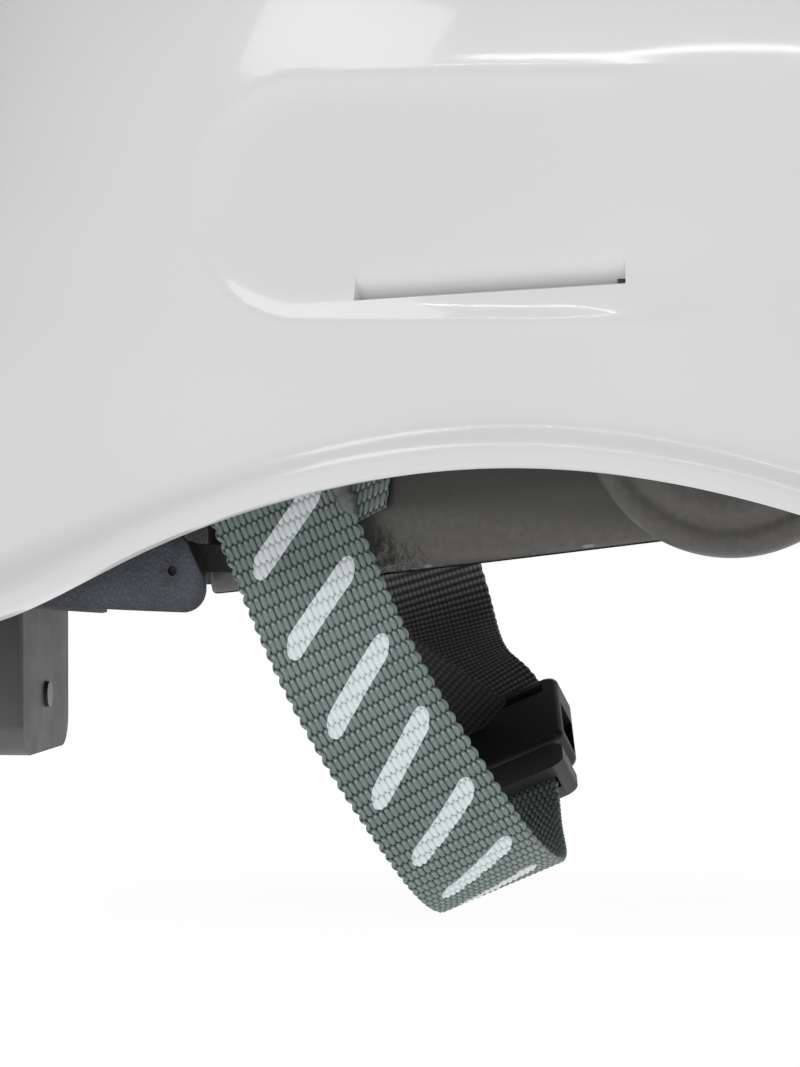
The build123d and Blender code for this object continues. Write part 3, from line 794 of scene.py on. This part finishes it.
def temple_foam(side, tag):
    """A round moulded pad: a rolled edge, a welt and a raised face."""
    rings, turns = 60, 160
    profile = spline([(0, 6.9), (9, 6.85), (16, 6.6), (19.2, 6.1), (20.6, 5.0), (21.6, 4.35), (23.5, 4.45),
                      (25.6, 3.9), (27.0, 2.3), (27.4, 0.4), (27.3, -1.0)], rings)
    a = np.linspace(0, 2 * math.pi, turns, endpoint=False)
    r, h = profile[:, 0][:, None], profile[:, 1][:, None]
    x = 28.4 + r * np.cos(a)
    z = -14.0 + r * np.sin(a)
    y = 86.0 + h + 0 * a
    z = np.minimum(z, -3.7)
    pts = np.stack([x, side * y, z], -1)
    quads = grid_faces(rings, turns, close=True, flip=side > 0)
    faces = quads.tolist() + [list(range((rings - 1) * turns, rings * turns))]
    obj = add("temple_foam_" + tag, pts.reshape(-1, 3), faces, EVA, "helmet",
              ("temple_pad_" + tag,), sharp=50)
    clean(obj, 2e-5)


for side, tag in ((-1, "right"), (1, "left")):
    side_foam(side, tag)
    temple_foam(side, tag)

# ---------------------------------------------------------------- padded fabric


# Metres, apart from the pressure: remesh size, cloth pressure, furthest a point may move, inset before it.
VOXEL, PRESSURE, CAP, SHRINK = 0.0032, 4.0, 0.004, 0.0012
CLOTH_FRAMES = 20


def puff(node, body):
    """A cushion from a CAD solid: remeshed, inflated as cloth and held near its solid."""
    source = frame["nodes"][node]
    mesh = source.data.copy()
    obj = bpy.data.objects.new("soft_" + node, mesh)
    obj.matrix_world = source.matrix_world
    bpy.context.scene.collection.objects.link(obj)
    mesh.materials.clear()
    bpy.context.view_layer.objects.active = obj
    mod = obj.modifiers.new("remesh", "REMESH")
    mod.mode, mod.voxel_size = "VOXEL", VOXEL
    bake(obj)
    bm = bmesh.new()
    bm.from_mesh(obj.data)
    bmesh.ops.smooth_vert(bm, verts=bm.verts, factor=0.5, use_axis_x=True, use_axis_y=True, use_axis_z=True)
    bm.normal_update()
    for v in bm.verts:
        v.co -= v.normal * SHRINK
    bm.to_mesh(obj.data)
    bm.free()
    rest = np.zeros(len(obj.data.vertices) * 3)
    obj.data.vertices.foreach_get("co", rest)
    cloth = obj.modifiers.new("cloth", "CLOTH")
    cloth.settings.use_pressure = True
    cloth.settings.uniform_pressure_force = PRESSURE
    cloth.settings.effector_weights.gravity = 0
    cloth.settings.tension_stiffness = 25
    for f in range(1, CLOTH_FRAMES + 1):
        bpy.context.scene.frame_set(f)
    bake(obj)
    bpy.context.scene.frame_set(1)
    now = np.zeros_like(rest)
    obj.data.vertices.foreach_get("co", now)
    move = (now - rest).reshape(-1, 3)
    size = np.linalg.norm(move, axis=1)[:, None]
    move *= np.minimum(1, CAP / np.maximum(size, 1e-9))
    obj.data.vertices.foreach_set("co", (rest.reshape(-1, 3) + move).ravel())
    mod = obj.modifiers.new("smooth", "SUBSURF")
    mod.levels = mod.render_levels = 1
    bake(obj)
    obj.data.polygons.foreach_set("use_smooth", np.ones(len(obj.data.polygons), dtype=bool))
    obj.data.materials.clear()
    obj.data.materials.append(KNIT)
    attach(obj, body)
    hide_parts(node)


def bake(obj):
    """Applies every modifier on an object."""
    dg = bpy.context.evaluated_depsgraph_get()
    mesh = bpy.data.meshes.new_from_object(obj.evaluated_get(dg))
    obj.modifiers.clear()
    obj.data = mesh


for node, body in (("crown_pad", "helmet"), ("forehead_pad", "helmet"), ("nape_pad_left", "nape_cradle"),
                   ("nape_pad_right", "nape_cradle")):
    puff(node, body)

# ---------------------------------------------------------------- finishes on the CAD parts that stay

FINISH = {"crown_liner": BEAD, "front_liner": BEAD, "rear_liner": BEAD, "buckle_socket": NYLON,
          "buckle_plug": NYLON, "prong_front": NYLON, "prong_rear": NYLON, "nape_cradle": BAND,
          "dial_knob": NYLON, "dial_pinion": NYLON, "rack_upper": BAND, "rack_lower": BAND}
for tag in ("left", "right"):
    FINISH.update({"web_rivet_" + tag: METAL, "leg_rivet_" + tag: METAL,
                   "nape_band_" + tag: BAND, "band_cover_" + tag: LEATHER, "nape_stud_" + tag: BAND})
for node, look in FINISH.items():
    mesh = frame["nodes"][node].data
    for i in range(len(mesh.materials)):
        mesh.materials[i] = look

# ---------------------------------------------------------------- studio

FLOOR_Z, FLOOR_HALF = CAD_BOX[0][2] - 0.001, 12


def floor():
    """A pale, softly glowing floor that can't be seen from below."""
    mesh = bpy.data.meshes.new("floor")
    corners = [(x * FLOOR_HALF, y * FLOOR_HALF, FLOOR_Z) for x, y in ((-1, -1), (1, -1), (1, 1), (-1, 1))]
    mesh.from_pydata(corners, [], [(0, 1, 2, 3)])
    obj = bpy.data.objects.new("floor", mesh)
    bpy.context.scene.collection.objects.link(obj)
    k = Look("floor_pale", 0.8)
    k.b.inputs["Base Color"].default_value = (0.86, 0.86, 0.86, 1)
    glow = k.node("ShaderNodeEmission")
    glow.inputs["Color"].default_value = (1, 1, 1, 1)
    glow.inputs["Strength"].default_value = 1.06
    both = k.node("ShaderNodeMixShader")
    both.inputs[0].default_value = 0.9
    k.link(k.b, 0, both, 1)
    k.link(glow, 0, both, 2)
    clear = k.node("ShaderNodeBsdfTransparent")
    geo = k.node("ShaderNodeNewGeometry")
    pick = k.node("ShaderNodeMixShader")
    k.link(geo, "Backfacing", pick, 0)
    k.link(both, 0, pick, 1)
    k.link(clear, 0, pick, 2)
    k.link(pick, 0, k.out, 0)
    mesh.materials.append(k.m)


def light(name, where, target, size, power):
    data = bpy.data.lights.new(name, "AREA")
    data.shape, data.size, data.size_y = "RECTANGLE", size[0], size[1]
    data.energy = power
    obj = bpy.data.objects.new(name, data)
    obj.location = where
    obj.rotation_euler = (Vector(target) - Vector(where)).to_track_quat("-Z", "Y").to_euler()
    bpy.context.scene.collection.objects.link(obj)


def world():
    """A white sky to the camera, and a weaker white fill to everything else."""
    w = bpy.data.worlds.new("studio")
    bpy.context.scene.world = w
    w.use_nodes = True
    nt = w.node_tree
    nt.nodes.clear()
    out = nt.nodes.new("ShaderNodeOutputWorld")
    path = nt.nodes.new("ShaderNodeLightPath")
    seen, fill, mix = (nt.nodes.new("ShaderNodeBackground"), nt.nodes.new("ShaderNodeBackground"),
                       nt.nodes.new("ShaderNodeMixShader"))
    seen.inputs[0].default_value, seen.inputs[1].default_value = (1, 1, 1, 1), 1.0
    fill.inputs[0].default_value, fill.inputs[1].default_value = (1, 1, 1, 1), 0.44
    nt.links.new(path.outputs["Is Camera Ray"], mix.inputs[0])
    nt.links.new(fill.outputs[0], mix.inputs[1])
    nt.links.new(seen.outputs[0], mix.inputs[2])
    nt.links.new(mix.outputs[0], out.inputs[0])


floor()
world()
light("key", (-0.8, -1.05, 1.05), (0, -0.05, 0.0), (0.9, 0.5), 5.6)
light("strip", (0.25, -1.2, 0.95), (0, -0.09, 0.0), (1.5, 0.03), 3.0)
light("front", (0.9, -0.9, 0.35), (0, -0.05, 0.0), (0.7, 0.7), 1.2)
light("low", (-0.1, -1.0, -0.25), (0, -0.08, -0.06), (0.9, 0.25), 0.9)
light("back", (-0.3, 1.1, 0.9), (0, 0, 0.0), (1.0, 0.8), 6)

AIM = Vector((-30, -95, -37)) * MM
AZIMUTH, ELEVATION, RANGE, LENS, SENSOR = math.radians(9), math.radians(2), 1.202, 227.0, 36.0
cam_data = bpy.data.cameras.new("camera")
cam_data.lens, cam_data.sensor_width = LENS, SENSOR
cam = bpy.data.objects.new("camera", cam_data)
bpy.context.scene.collection.objects.link(cam)
level = math.cos(ELEVATION)
back = Vector((math.sin(AZIMUTH) * level, -math.cos(AZIMUTH) * level, math.sin(ELEVATION)))
cam.location = AIM + back * RANGE
cam.rotation_euler = (-back).to_track_quat("-Z", "Y").to_euler()
bpy.context.scene.camera = cam
bpy.context.scene.view_settings.view_transform = "Standard"
